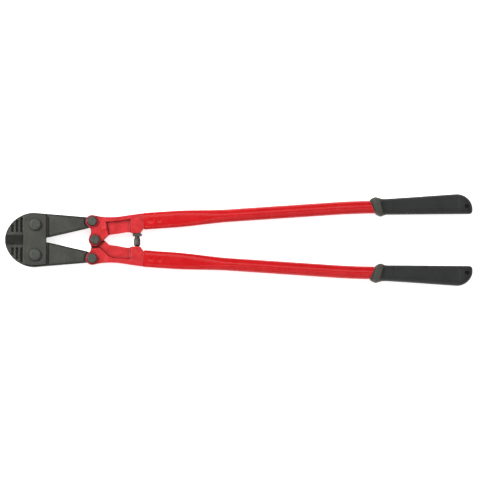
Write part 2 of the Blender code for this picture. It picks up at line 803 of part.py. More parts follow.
def jaw_set(name, point, surface, parent):
    """Round bolt, spring washer and nut through the side plates and a jaw."""
    top = JAW_HALF_THICK + PLATE_THICK + GAP
    nut_low = -top - WASHER_THICK - GAP - JAW_NUT_HEIGHT
    fastener_at(point, round_bolt, name + "_bolt", surface, parent)
    fastener_at(point, lambda: split_washer(JAW_SHANK, -top), name + "_washer", surface, parent)
    fastener_at(
        point, lambda: nut(JAW_NUT_FLATS, JAW_SHANK, nut_low, JAW_NUT_HEIGHT),
        name + "_nut", surface, parent,
    )


# ---------------------------------------------------------------- assembly

def opposite(point):
    return point[0], -point[1]


def main():
    clear_scene()
    forged = material("black_forged_steel", (0.095, 0.097, 0.086), 0.5, 0.6)
    bolt_steel = material("dark_bolt_steel", (0.075, 0.085, 0.075), 0.45, 0.7)
    red_lever = material("red_painted_forging", (0.68, 0.048, 0.052), 0.42, 0.0)
    red_tube = material("red_painted_tube", (0.64, 0.03, 0.034), 0.3, 0.0)
    rubber = material("black_rubber", (0.036, 0.04, 0.037), 0.7, 0.0)

    centre = pivot("centre_pivot", CENTRE_PIVOT)
    upper_handle = pivot("upper_handle_pivot", CENTRE_PIVOT, centre)
    lower_handle = pivot("lower_handle_pivot", CENTRE_PIVOT, centre)
    upper_link = pivot("upper_link_pivot", LINK_PIVOT, upper_handle)
    lower_link = pivot("lower_link_pivot", opposite(LINK_PIVOT), lower_handle)
    head = pivot("head_pivot", JAW_PIVOT, upper_link)
    stop = pivot("stop_slide", (STOP_STATION, 0.0), upper_handle)

    hole = upright_hole(JAW_PIVOT, JAW_SHANK + FIT, 2 * JAW_HALF_THICK)
    piece("upper_jaw", jaw(hole), forged, upper_link, LINK_PIVOT)
    piece("lower_jaw", jaw(open_pivot_hole()), forged, lower_link, LINK_PIVOT, True)
    piece("front_side_plate", side_plate(), forged, head, JAW_PIVOT)
    piece("back_side_plate", mirrored(side_plate()), forged, head, JAW_PIVOT)
    jaw_set("upper_jaw", JAW_PIVOT, bolt_steel, head)
    jaw_set("lower_jaw", opposite(JAW_PIVOT), bolt_steel, head)

    for name, body, turned_over in (("upper", upper_handle, False), ("lower", lower_handle, True)):
        piece(name + "_lever", lever(not turned_over), red_lever, body, CENTRE_PIVOT, turned_over)
        piece(name + "_handle_tube", handle_tube(), red_tube, body, CENTRE_PIVOT, turned_over)
        piece(name + "_grip", grip(), rubber, body, CENTRE_PIVOT, turned_over)
    link_set("upper_link", LINK_PIVOT, LINK_FLATS, bolt_steel, upper_handle)
    link_set("lower_link", opposite(LINK_PIVOT), LINK_FLATS, bolt_steel, lower_handle)
    link_set("centre", CENTRE_PIVOT, CENTRE_FLATS, bolt_steel, centre)
    piece("stop_screw", stop_screw(), bolt_steel, stop, (STOP_STATION, 0.0))
    piece("stop_lock_nut", stop_nut(), bolt_steel, upper_handle, (STOP_STATION, 0.0))


main()
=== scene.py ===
"""Looks of the bolt cutters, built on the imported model.

Shapes are drawn in millimetres on the tool's own drawing, as in the part: a station is the distance
back from the jaw tips, an offset is the distance from the centre line, and a height is measured from
the tool's middle plane. The frame gives the place of that drawing.
"""

import json
import math

import bmesh
import bpy
from mathutils import Matrix, Vector

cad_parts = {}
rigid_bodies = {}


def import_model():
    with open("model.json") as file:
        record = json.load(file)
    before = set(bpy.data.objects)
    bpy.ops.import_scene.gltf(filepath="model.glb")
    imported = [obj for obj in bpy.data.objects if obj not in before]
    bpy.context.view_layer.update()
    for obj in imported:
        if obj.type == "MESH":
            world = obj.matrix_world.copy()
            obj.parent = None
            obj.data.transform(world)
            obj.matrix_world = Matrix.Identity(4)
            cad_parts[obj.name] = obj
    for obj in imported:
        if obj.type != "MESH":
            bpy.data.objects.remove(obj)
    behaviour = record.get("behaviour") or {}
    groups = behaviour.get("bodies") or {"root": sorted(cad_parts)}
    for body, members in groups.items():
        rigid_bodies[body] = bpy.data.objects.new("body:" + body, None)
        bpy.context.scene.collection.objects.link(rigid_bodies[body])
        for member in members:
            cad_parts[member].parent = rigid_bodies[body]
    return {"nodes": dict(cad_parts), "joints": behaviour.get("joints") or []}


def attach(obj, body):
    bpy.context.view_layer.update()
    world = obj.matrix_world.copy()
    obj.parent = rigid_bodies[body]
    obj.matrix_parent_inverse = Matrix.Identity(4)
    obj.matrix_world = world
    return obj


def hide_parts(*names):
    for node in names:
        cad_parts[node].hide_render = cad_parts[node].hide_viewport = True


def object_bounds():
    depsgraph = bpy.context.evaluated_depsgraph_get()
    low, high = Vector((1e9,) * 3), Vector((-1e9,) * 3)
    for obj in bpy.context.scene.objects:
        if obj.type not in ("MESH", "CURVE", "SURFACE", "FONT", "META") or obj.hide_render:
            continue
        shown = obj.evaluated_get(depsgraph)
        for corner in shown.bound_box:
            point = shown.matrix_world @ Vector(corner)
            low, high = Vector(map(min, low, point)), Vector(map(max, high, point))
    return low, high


for item in list(bpy.data.objects):
    bpy.data.objects.remove(item)
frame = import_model()
cad_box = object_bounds()
pivots = {joint["name"]: Vector(joint["pos_m"]) for joint in frame["joints"] if "pos_m" in joint}
tips_x = Vector(cad_box[0]).x
middle_z = pivots["upper_handle_pivot"].z

MM = 0.001
IN_PLACE = Matrix.Identity(4)  # for a shape that already lies in the frame
FACE_NORMAL = 0.5  # a flat face's normal has at least this much of Z
# Edges bent by more degrees stay crisp: on skins, on drawn shapes and on the cut grips
SKIN_CREASE, DRAWN_CREASE, CUT_CREASE = 80, 60, 45

# Levers: a raised boss round each bolt, on a face that is lowered round it
BOSS_RADIUS = 12.3
BOSS_STEP = 1.7
BOSS_STEP_START, BOSS_STEP_END = BOSS_RADIUS - 0.6, BOSS_RADIUS + 0.9
LOWERED_FULL, LOWERED_END = 21.0, 34.0  # distances from the bolt between which the face comes up again
LEVER_FACE = 9.0  # the lever's faces are higher than this

# Jaws
EDGE_BEVEL = 10.2
EDGE_END = 47.0
EDGE_REACH, EDGE_CLOSE = 2.6, 0.6  # how far in, and how much, the edge is brought back
EDGE_GAP = 0.01  # between each cutting edge and the centre line
SLOPE_END = 47.2
SLOPE_NORMAL = (0.2, 0.95)  # least and most of Z in the cutting slope's normal
SLOT_END = 46.0
SLOT_SINK = 1.6
SLOT_FLOOR = (3.5, 5.6)  # heights between which the slots' floors lie
SLOT_NORMAL = 0.6
TAIL_START, TAIL_END = 87.0, 158.0
TAIL_FACE = 6.0  # the tail's faces are higher than this
TAIL_INNER = (85.2, 5.1, 0.228)  # station, offset there and slope of the tail's inner side
TAIL_OUTER = (58.0, 53.1, -0.0835)
TAIL_CHAMFER_WIDTH = 4.2
TAIL_CHAMFER_DROP = 1.9

# Handle tubes
TUBE_START, TUBE_END = 272.0, 736.0
TUBE_OFFSET = 36.6
TUBE_SLOPE = math.radians(3.83)
BEND_START, BEND_END = 640.0, 740.0
TUBE_RADIUS = 12.7
TUBE_WALL = 2.3
SOCKET_HALF_WIDTH, SOCKET_HALF_THICK, SOCKET_POWER = 16.5, 10.5, 4.0
SOCKET_END, ROUND_START = 328.0, 441.0
CRIMPS = ((285.5, 6.0, 3.6), (303.0, 4.2, 2.8))  # station, half length and half width
CRIMP_DEPTH = 1.5
CRIMP_SIDE = (0.72, 1.12)  # shares of a crimp's size where its side starts and ends
CRIMP_FACE = 0.6 * SOCKET_HALF_THICK  # the flat sides are higher than this
TUBE_RUNS = (  # rings from one station to another, and the step between them
    (TUBE_START, 312.0, 0.7), (316.0, ROUND_START, 5.0), (450.0, TUBE_END, 8.0),
)
TUBE_MOUTH = (  # rings from inside the tube and round its lip: distance from its start, and inset
    (6.0, TUBE_WALL), (0.3, TUBE_WALL), (-0.4, 1.9), (-0.6, 1.1), (-0.45, 0.5),
)

# Grips
GRIP_START, GRIP_TIP = 752.0, 915.0
GRIP_INNER, GRIP_INNER_FLARE = 49.6, 0.008
GRIP_OUTER, GRIP_OUTER_FLARE = 80.7, 0.0695
GRIP_HALF_THICK = 15.0
GRIP_THINNING, THINNING_START, THINNING_END = 0.1, 800.0, 890.0
GRIP_LEAN = 0.16  # of the rings next to the collar
GRIP_POWER, GRIP_POWER_GAIN = 2.8, 0.2
SETTLE_START, SETTLE_END = 750.0, 790.0  # where the rings straighten behind the collar
TIP_CENTRE = (884.0, 60.0)
TIP_ROUND_START, TIP_ROUND_LENGTH = 892.0, 23.4
HEEL_RADIUS = 6.5
RECESS, RECESS_RADIUS, RECESS_DEPTH = (904.0, 65.0), 3.8, 7.0
PANEL_START, PANEL_END = 760.0, 889.0
PANEL_MARGIN, PANEL_DEPTH, PANEL_SIDE = 5.0, 0.8, 1.2
GRIP_RUNS = (
    (GRIP_START, TIP_CENTRE[0], 2.0), (885.5, 905.0, 1.3), (905.8, 914.0, 0.7), (914.6, GRIP_TIP, 0.4),
)

# Collar of the grip: station, inner offset, outer offset, half thickness, lean and section power
COLLAR = (
    (719.9, 52.2, 75.9, 12.9, 0.42, 2.0),
    (719.1, 51.0, 77.1, 13.9, 0.42, 2.0),
    (719.4, 50.2, 77.9, 14.8, 0.42, 2.0),
    (720.5, 49.3, 79.0, 16.2, 0.40, 2.1),
    (721.9, 48.5, 80.2, 17.6, 0.37, 2.25),
    (723.0, 47.8, 81.1, 18.3, 0.35, 2.35),
    (724.2, 47.2, 81.9, 18.6, 0.33, 2.4),
    (727.4, 46.3, 83.4, 18.6, 0.29, 2.4),
    (729.8, 45.8, 84.3, 18.6, 0.27, 2.4),
    (731.3, 45.9, 84.2, 18.6, 0.26, 2.4),
    (734.6, 47.1, 82.9, 18.6, 0.24, 2.45),
    (736.1, 47.6, 82.4, 18.4, 0.24, 2.5),
    (737.8, 48.2, 81.8, 17.5, 0.23, 2.5),
    (740.4, 49.0, 81.0, 15.9, 0.22, 2.6),
    (742.6, 49.4, 80.7, 15.2, 0.21, 2.65),
    (746.0, 49.6, 80.6, 15.0, 0.19, 2.7),
)
COLLAR_MIDDLE, COLLAR_LEAN = 65.0, 0.28
CREST = (723.2, 736.2)  # stations of the flat crest of the collar, at its middle, between which the painted highlight lies
CREST_EDGE = 0.6

# Bolts, washers and nuts
ROUNDING, ROUNDING_SEGMENTS, ROUNDING_ANGLE = 0.35, 2, 32
WELD = 0.002

# Studio, in metres, degrees and watts
FLOOR_SIZE = 12
FLOOR_DROP = -0.0003  # keeps the floor clear of the faces that rest on it
WORLD_STRENGTH = 0.30
LIGHTS = (  # name, place, size and power
    ("key_softbox", (-2.0, 0.75, 1.9), (0.55, 0.55), 70),
    ("top_softbox", (0.3, 0.9, 2.6), (2.4, 1.2), 22),
    ("fill_softbox", (0.4, -2.1, 1.5), (1.6, 1.6), 9),
    ("strip_softbox", (0.1, -1.0, 2.4), (1.6, 0.08), 6),
)
CAMERA_LENS = 460  # in millimetres
CAMERA_DISTANCE, CAMERA_ELEVATION = 12.0, 86.5
CAMERA_TARGET_X = 0.0025
CAMERA_REACH = 50


# ---------------------------------------------------------------- materials

def srgb(red, green, blue):
    """A linear colour from the 0 to 255 values a screen shows."""
    channels = []
    for value in (red, green, blue):
        share = value / 255
        channels.append(share / 12.92 if share <= 0.04045 else ((share + 0.055) / 1.055) ** 2.4)
    return (*channels, 1.0)


class Surface:
    """A Principled material, with short names for the nodes that feed it."""

    def __init__(self, name, **fixed):
        self.material = bpy.data.materials.new(name)
        self.material.use_nodes = True
        self.tree = self.material.node_tree
        self.shader = self.tree.nodes["Principled BSDF"]
        for socket, value in fixed.items():
            self.shader.inputs[socket.replace("_", " ")].default_value = value
        self.place = self.node("ShaderNodeTexCoord").outputs["Object"]

    def fill(self, socket, value):
        """Links a socket to the one that feeds it, or sets it to a plain value."""
        if isinstance(value, bpy.types.NodeSocket):
            self.tree.links.new(value, socket)
        else:
            socket.default_value = value

    def node(self, kind, inputs=None, **settings):
        made = self.tree.nodes.new(kind)
        for name, value in settings.items():
            setattr(made, name, value)
        for name, value in (inputs or {}).items():
            self.fill(made.inputs[name], value)
        return made

    def feed(self, socket, value):
        self.tree.links.new(value, self.shader.inputs[socket])

    def stretched(self, scale):
        """The place on the object, scaled separately along X, Y and Z."""
        return self.node("ShaderNodeMapping", {"Vector": self.place, "Scale": scale}).outputs[0]

    def noise(self, size_mm, detail=3.0, rough=0.5, place=None, warp=0.0):
        """Cloudy noise from 0 to 1 whose features are about this size."""
        made = self.node("ShaderNodeTexNoise", {
            "Vector": place or self.place, "Scale": 1 / (size_mm * MM),
            "Detail": detail, "Roughness": rough, "Distortion": warp,
        })
        return made.outputs[0]

    def cells(self, size_mm):
        """Distance to the middle of the nearest of many cells of this size."""
        made = self.node("ShaderNodeTexVoronoi", {"Vector": self.place, "Scale": 1 / (size_mm * MM)})
        return made.outputs["Distance"]

    def share(self, value, low, high, to_low=0.0, to_high=1.0):
        """The value from low to high, as a share, held at both ends."""
        made = self.node("ShaderNodeMapRange", {
            "Value": value, "From Min": low, "From Max": high, "To Min": to_low, "To Max": to_high,
        })
        return made.outputs[0]

    def maths(self, operation, *values):
        made = self.node("ShaderNodeMath", operation=operation)
        for socket, value in zip(made.inputs, values):
            self.fill(socket, value)
        return made.outputs[0]

    def mix(self, share, first, second):
        """Two colours mixed by a share."""
        made = self.node("ShaderNodeMix", data_type="RGBA")
        for socket, value in ((made.inputs[0], share), (made.inputs[6], first), (made.inputs[7], second)):
            self.fill(socket, value)
        return made.outputs[2]

    def edges(self, low=0.52, high=0.60):
        """1 on raised edges and 0 elsewhere."""
        return self.share(self.node("ShaderNodeNewGeometry").outputs["Pointiness"], low, high)

    def hollow_shade(self):
        """1 in sharp hollows and 0 elsewhere, a mask for painted shade."""
        return self.share(self.node("ShaderNodeNewGeometry").outputs["Pointiness"], 0.48, 0.40)

    def corner_shade(self, reach_mm, low=0.9, high=0.35):
        """1 deep in corners between surfaces and 0 in the open, a mask for painted shade."""
        made = self.node("ShaderNodeAmbientOcclusion", {"Distance": reach_mm * MM}, samples=12)
        return self.share(made.outputs["AO"], low, high)

    def crest_highlight(self):
        """1 on the flat crest of the grip's leaning collar and 0 elsewhere, a mask for a painted
        highlight.
        """
        axes = self.node("ShaderNodeSeparateXYZ", {"Vector": self.place})
        aside = self.maths("ABSOLUTE", axes.outputs["Y"])
        along = self.maths("ADD", axes.outputs["X"], self.maths("MULTIPLY", aside, COLLAR_LEAN))
        front, rear = (tips_x + (station + COLLAR_LEAN * COLLAR_MIDDLE) * MM for station in CREST)
        edge = CREST_EDGE * MM
        start = self.share(along, front - edge, front + edge)
        end = self.share(along, rear + edge, rear - edge)
        return self.maths("MULTIPLY", start, end)

    def bump(self, *layers):
        """Relief from (height, depth in mm) layers, from the largest to the finest."""
        normal = None
        for height, depth in layers:
            inputs = {"Height": height, "Distance": depth * MM, "Strength": 1.0}
            if normal:
                inputs["Normal"] = normal
            normal = self.node("ShaderNodeBump", inputs).outputs[0]
        self.feed("Normal", normal)


def forged_steel():
    """Black oxide over a shot-blasted forging."""
    made = Surface("forged_black_oxide", Metallic=0.55, Specular_IOR_Level=0.45)
    grain = made.noise(0.9, 4, 0.6)
    clouds = made.noise(22, 4, 0.55, warp=0.4)
    base = made.mix(made.share(clouds, 0.35, 0.68), srgb(58, 58, 54), srgb(74, 74, 68))
    base = made.mix(made.share(grain, 0.3, 0.75, 0.0, 0.45), base, srgb(46, 46, 43))
    rubbed = made.maths("MULTIPLY", made.edges(), made.share(made.noise(5, 5, 0.7), 0.4, 0.62))
    base = made.mix(made.maths("MULTIPLY", rubbed, 0.6), base, srgb(142, 141, 134))
    # Painted shade: darker deep in corners between surfaces.
    base = made.mix(made.maths("MULTIPLY", made.corner_shade(4), 0.85), base, srgb(26, 26, 25))
    made.feed("Base Color", base)
    rough = made.share(made.noise(3, 3, 0.6), 0.3, 0.7, 0.46, 0.6)
    made.feed("Roughness", made.maths("SUBTRACT", rough, made.maths("MULTIPLY", rubbed, 0.14)))
    pits = made.share(made.cells(1.4), 0.0, 0.55)
    made.bump((clouds, 0.5), (pits, 0.05), (grain, 0.09))
    return made.material


def ground_edge():
    """The cutting slopes, ground across the edge and blackened again."""
    made = Surface("ground_cutting_slope", Metallic=0.6, Specular_IOR_Level=0.45)
    lines = made.noise(1.0, 4, 0.7, place=made.stretched((3.2, 0.08, 0.08)))
    clouds = made.noise(12, 3, 0.5)
    base = made.mix(made.share(lines, 0.3, 0.7), srgb(40, 40, 39), srgb(66, 66, 63))
    base = made.mix(made.share(clouds, 0.4, 0.7, 0.0, 0.35), base, srgb(34, 34, 33))
    bright = made.maths("MULTIPLY", made.edges(0.54, 0.64), 0.25)
    made.feed("Base Color", made.mix(bright, base, srgb(150, 149, 144)))
    made.feed("Roughness", made.share(lines, 0.2, 0.8, 0.34, 0.5))
    made.bump((lines, 0.06))
    return made.material


def bolt_steel():
    """Dark phosphated bolts."""
    made = Surface("phosphated_bolt", Metallic=0.6, Specular_IOR_Level=0.45)
    grain = made.noise(0.7, 4, 0.6)
    clouds = made.noise(6, 4, 0.6)
    base = made.mix(made.share(clouds, 0.35, 0.7), srgb(58, 62, 57), srgb(78, 80, 74))
    worn = made.maths("MULTIPLY", made.edges(0.52, 0.62), made.share(made.noise(2.2, 4, 0.7), 0.38, 0.6))
    base = made.mix(made.maths("MULTIPLY", worn, 0.7), base, srgb(150, 150, 143))
    # Painted shade: darker in sharp hollows.
    base = made.mix(made.maths("MULTIPLY", made.hollow_shade(), 0.6), base, srgb(36, 38, 35))
    made.feed("Base Color", base)
    made.feed("Roughness", made.share(grain, 0.3, 0.7, 0.4, 0.56))
    made.bump((clouds, 0.12), (grain, 0.05))
    return made.material


def lever_paint():
    """Red enamel over a rough forging, whose skin shows through it, with painted shade in its corners and
    a painted highlight on its edges.
    """
    made = Surface(
        "red_enamel_on_forging", Metallic=0.0, Specular_IOR_Level=0.28, Coat_Weight=0.12,
        Coat_Roughness=0.25,
    )
    skin = made.noise(2.6, 4, 0.55)
    waves = made.noise(11, 3, 0.5, warp=0.3)
    peel = made.noise(0.8, 2, 0.5)
    base = made.mix(made.share(waves, 0.35, 0.65), srgb(180, 22, 28), srgb(200, 36, 41))
    # Painted shade: dark red deep in the pockets and in corners between surfaces.
    base = made.mix(made.corner_shade(8, 0.97, 0.6), base, srgb(92, 2, 8))
    # Painted highlight: lighter pink on raised edges, patchy with the skin noise.
    lever_edge_highlight = made.maths("MULTIPLY", made.edges(0.515, 0.58), made.share(skin, 0.35, 0.6, 0.4, 1.0))
    base = made.mix(made.maths("MULTIPLY", lever_edge_highlight, 0.6), base, srgb(233, 92, 94))
    chip_spots = made.share(made.noise(3.2, 5, 0.75), 0.66, 0.69)
    chips = made.maths("MULTIPLY", made.edges(0.55, 0.6), chip_spots)
    base = made.mix(chips, base, srgb(62, 54, 50))
    made.feed("Base Color", base)
    made.feed("Roughness", made.share(skin, 0.3, 0.7, 0.3, 0.44))
    made.bump((waves, 0.6), (skin, 0.2), (peel, 0.03))
    return made.material


def tube_paint():
    """Gloss red enamel on drawn tube."""
    made = Surface(
        "red_gloss_enamel", Metallic=0.0, Specular_IOR_Level=0.12, Coat_Weight=0.22,
        Coat_Roughness=0.09,
    )
    clouds = made.noise(30, 3, 0.5)
    peel = made.noise(1.5, 2, 0.5)
    drawn = made.noise(3, 3, 0.5, place=made.stretched((0.05, 1, 1)))
    base = made.mix(made.share(clouds, 0.35, 0.7), srgb(188, 15, 20), srgb(196, 21, 26))
    # Painted shade: darker red in sharp hollows, such as the crimps.
    base = made.mix(made.maths("MULTIPLY", made.hollow_shade(), 0.6), base, srgb(150, 12, 18))
    scuffs = made.share(made.noise(7, 6, 0.75, place=made.stretched((0.3, 1, 1))), 0.66, 0.74)
    base = made.mix(made.maths("MULTIPLY", scuffs, 0.25), base, srgb(226, 84, 84))
    made.feed("Base Color", base)
    rough = made.share(clouds, 0.3, 0.7, 0.24, 0.32)
    made.feed("Roughness", made.maths("ADD", rough, made.maths("MULTIPLY", scuffs, 0.2)))
    made.bump((drawn, 0.05), (peel, 0.015))
    return made.material


def grip_rubber():
    """Moulded black vinyl with a fine spark-eroded texture."""
    made = Surface(
        "moulded_vinyl", Metallic=0.0, Specular_IOR_Level=0.28, Sheen_Weight=0.05,
        Sheen_Roughness=0.5,
    )
    grain = made.cells(0.75)
    fine = made.noise(0.45, 3, 0.6)
    clouds = made.noise(25, 4, 0.55)
    base = made.mix(made.share(clouds, 0.35, 0.68), srgb(31, 33, 32), srgb(41, 43, 41))
    base = made.mix(made.share(grain, 0.0, 0.6, 0.3, 0.0), base, srgb(20, 21, 20))
    # Painted highlight: a lighter band on the flat crest of the collar, patchy with noise.
    crest_highlight = made.maths("MULTIPLY", made.crest_highlight(), made.share(made.noise(6, 4, 0.6), 0.2, 0.7, 0.55, 1.0))
    base = made.mix(crest_highlight, base, srgb(72, 70, 62))
    # Lighter on raised edges: partly dust, partly a painted highlight.
    dust_and_edge_highlight = made.maths("MULTIPLY", made.edges(0.51, 0.58), made.share(made.noise(4, 4, 0.6), 0.35, 0.65))
    base = made.mix(made.maths("MULTIPLY", dust_and_edge_highlight, 0.45), base, srgb(96, 95, 88))
    made.feed("Base Color", base)
    made.feed("Roughness", made.share(clouds, 0.3, 0.7, 0.56, 0.68))
    made.bump((clouds, 0.15), (grain, 0.06), (fine, 0.03))
    return made.material


def lit_table():
    """The floor, nearly white and glowing a little."""
    made = Surface(
        "lit_table", Metallic=0.0, Roughness=0.9, Specular_IOR_Level=0.0,
        Emission_Color=(1, 1, 1, 1), Emission_Strength=0.7,
    )
    clouds = made.noise(400, 2, 0.5)
    made.feed("Base Color", made.mix(clouds, (0.93, 0.93, 0.93, 1), (0.95, 0.95, 0.95, 1)))
    return made.material


# ---------------------------------------------------------------- drawing tools

def smooth_share(value, start, end):
    """0 before start, 1 after end, and a smooth step between them."""
    share = min(1.0, max(0.0, (value - start) / (end - start)))
    return share * share * (3 - 2 * share)


def superellipse(half_width, half_height, power, steps):
    """Points round an oval, which a higher power makes squarer."""
    points = []
    for i in range(steps):
        angle = 2 * math.pi * i / steps
        along, up = math.cos(angle), math.sin(angle)
        points.append((
            math.copysign(abs(along) ** (2 / power), along) * half_width,
            math.copysign(abs(up) ** (2 / power), up) * half_height,
        ))
    return points


def spread(start, end, step):
    """Evenly spaced values from start to end, about a step apart."""
    count = max(1, round((end - start) / step))
    return [start + (end - start) * i / count for i in range(count + 1)]


def loft(rings):
    """A closed solid through rings of points, each with the same number of points."""
    shape = bmesh.new()
    rows = [[shape.verts.new(point) for point in ring] for ring in rings]
    count = len(rows[0])
    for row, following in zip(rows, rows[1:]):
        for i in range(count):
            j = (i + 1) % count
            shape.faces.new((row[i], row[j], following[j], following[i]))
    shape.faces.new(rows[0][::-1])
    shape.faces.new(rows[-1])
    bmesh.ops.recalc_face_normals(shape, faces=shape.faces)
    return shape


def turned(profile, steps):
    """A solid turned about Z from (radius, height) points."""
    angles = [2 * math.pi * i / steps for i in range(steps)]
    return loft([
        [(radius * math.cos(angle), radius * math.sin(angle), height) for angle in angles]
        for radius, height in profile
    ])


# ---------------------------------------------------------------- pieces

def on_drawing(turned_over):
    """The drawing's place in the frame, or the place of the drawing turned over."""
    place = Matrix.Translation((tips_x, 0, middle_z)) @ Matrix.Scale(MM, 4)
    return place @ Matrix.Rotation(math.pi, 4, "X") if turned_over else place


def drawn_at(point):
    """Station, offset and height, in millimetres, of a point in the frame."""
    return (point.x - tips_x) / MM, point.y / MM, (point.z - middle_z) / MM


def finished(name, shape, place, surface, body, node, crease):
    """A piece from a drawn shape, which stands for a CAD node."""
    mesh = bpy.data.meshes.new(name)
    shape.to_mesh(mesh)
    shape.free()
    mesh.transform(place)
    mesh.materials.append(surface)
    mesh.shade_smooth()
    mesh.set_sharp_from_angle(angle=math.radians(crease))
    item = bpy.data.objects.new(name, mesh)
    bpy.context.scene.collection.objects.link(item)
    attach(item, body)
    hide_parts(node)
    return item


def applied(item):
    """The item's mesh with its modifiers applied."""
    bpy.context.view_layer.update()
    graph = bpy.context.evaluated_depsgraph_get()
    mesh = bpy.data.meshes.new_from_object(item.evaluated_get(graph))
    item.modifiers.clear()
    item.data = mesh
    return mesh


def add_smoothing(item, rounds):
    soft = item.modifiers.new("soft", "SMOOTH")
    soft.factor, soft.iterations = 0.5, rounds


def skinned(node, voxel_mm, rounds, reshape=None, rounds_after=0):
    """A CAD node's shape as one fine skin with softened edges, reshaped point by point."""
    item = bpy.data.objects.new(node + "_skin", frame["nodes"][node].data.copy())
    bpy.context.scene.collection.objects.link(item)
    skin = item.modifiers.new("skin", "REMESH")
    skin.mode = "VOXEL"
    skin.voxel_size = voxel_mm * MM
    add_smoothing(item, rounds)
    mesh = applied(item)
    if reshape:
        normals = [vertex.normal.copy() for vertex in mesh.vertices]
        for vertex, normal in zip(mesh.vertices, normals):
            vertex.co = reshape(vertex.co.copy(), normal)
        add_smoothing(item, rounds_after)
        mesh = applied(item)
    shape = bmesh.new()
    shape.from_mesh(mesh)
    bpy.data.objects.remove(item)
    return shape


def soften(node, surface):
    """Keeps a CAD node as it is, with its sharp edges rounded."""
    item = frame["nodes"][node]
    item.data.materials.clear()
    item.data.materials.append(surface)
    weld = item.modifiers.new("weld", "WELD")
    weld.merge_threshold = WELD * MM
    bevel = item.modifiers.new("rounding", "BEVEL")
    bevel.width = ROUNDING * MM
    bevel.segments = ROUNDING_SEGMENTS
    bevel.limit_method = "ANGLE"
    bevel.angle_limit = math.radians(ROUNDING_ANGLE)
    bevel.use_clamp_overlap = True
    bevel.harden_normals = True


# ---------------------------------------------------------------- levers

bosses = [drawn_at(point)[:2] for name, point in pivots.items() if name != "head_pivot"]


def lever_reshape(point, normal):
    """Lowers the lever's faces round each bolt and leaves a raised boss there."""
    station, offset, height = drawn_at(point)
    if abs(normal.z) < FACE_NORMAL or abs(height) <= LEVER_FACE:
        return point
    away = min(math.dist((station, offset), centre) for centre in bosses)
    step = smooth_share(away, BOSS_STEP_START, BOSS_STEP_END)
    fade = 1 - smooth_share(away, LOWERED_FULL, LOWERED_END)
    point.z -= math.copysign(BOSS_STEP * step * fade * MM, height)
    return point


def add_levers(surface):
    for side in ("upper", "lower"):
        node, body = side + "_lever", side + "_handle"
        shape = skinned(node, voxel_mm=0.55, rounds=4, reshape=lever_reshape, rounds_after=2)
        finished(node + "_forging", shape, IN_PLACE, surface, body, node, SKIN_CREASE)


# ---------------------------------------------------------------- jaws and side plates

def tail_side(side, station):
    """Offset of the tail's inner or outer side at a station."""
    start, offset, slope = side
    return offset + slope * (station - start)


def jaw_reshape(point, normal):
    """Sinks the slots of the nose and chamfers the long edges of the jaw's tail."""
    station, offset, height = drawn_at(point)
    across = abs(offset)
    on_floor = SLOT_FLOOR[0] < abs(height) < SLOT_FLOOR[1] and abs(normal.z) > SLOT_NORMAL
    if station < SLOT_END and across > EDGE_BEVEL + 1 and on_floor:
        point.z -= math.copysign(SLOT_SINK * MM, height)
        return point
    if not TAIL_START <= station <= TAIL_END or abs(normal.z) < FACE_NORMAL or abs(height) < TAIL_FACE:
        return point
    near = min(across - tail_side(TAIL_INNER, station), tail_side(TAIL_OUTER, station) - across)
    share = 1 - min(1.0, max(0.0, near / TAIL_CHAMFER_WIDTH))
    point.z -= math.copysign(share * TAIL_CHAMFER_DROP * MM, height)
    return point


def close_edge(shape):
    """Brings the cutting edge, which smoothing rounds off, back to the centre line."""
    for vertex in shape.verts:
        station, offset, _ = drawn_at(vertex.co)
        if station < EDGE_END and abs(offset) < EDGE_REACH:
            closer = abs(offset) - EDGE_CLOSE * (1 - abs(offset) / EDGE_REACH)
            vertex.co.y = math.copysign(max(EDGE_GAP, closer) * MM, offset)


def on_slope(face):
    """Whether a face of a jaw lies on its cutting slope."""
    station, offset, _ = drawn_at(face.center)
    tilted = SLOPE_NORMAL[0] < abs(face.normal.z) < SLOPE_NORMAL[1]
    return station < SLOPE_END and abs(offset) < EDGE_BEVEL and tilted


def add_jaws(surface, ground):
    for node in ("upper_jaw", "lower_jaw"):
        shape = skinned(node, voxel_mm=0.5, rounds=2, reshape=jaw_reshape, rounds_after=1)
        close_edge(shape)
        item = finished(node + "_forging", shape, IN_PLACE, surface, node, node, SKIN_CREASE)
        item.data.materials.append(ground)
        slopes = [int(on_slope(face)) for face in item.data.polygons]
        item.data.polygons.foreach_set("material_index", slopes)


def add_side_plates(surface):
    for node in ("front_side_plate", "back_side_plate"):
        shape = skinned(node, voxel_mm=0.6, rounds=3)
        finished(node + "_forging", shape, IN_PLACE, surface, "head", node, SKIN_CREASE)


# ---------------------------------------------------------------- handle tubes

def tube_centre(station):
    """Offset of the tube's centre line at a station, and its angle there."""
    slope = math.tan(TUBE_SLOPE)
    if station <= BEND_START:
        return TUBE_OFFSET + (station - TUBE_START) * slope, TUBE_SLOPE
    share = min(1.0, (station - BEND_START) / (BEND_END - BEND_START))
    start = TUBE_OFFSET + (BEND_START - TUBE_START) * slope
    run = (BEND_END - BEND_START) * slope
    return start + run * (share - share * share / 2), TUBE_SLOPE * (1 - share)


def crimp(station, across, up):
    """How far a crimp presses the flat side in here."""
    if abs(up) < CRIMP_FACE:
        return 0.0
    depth = 0.0
    for centre, half_length, half_width in CRIMPS:
        reach = ((station - centre) / half_length) ** 4 + (across / half_width) ** 4
        depth += CRIMP_DEPTH * (1 - smooth_share(reach ** 0.25, *CRIMP_SIDE))
    return math.copysign(depth, up)


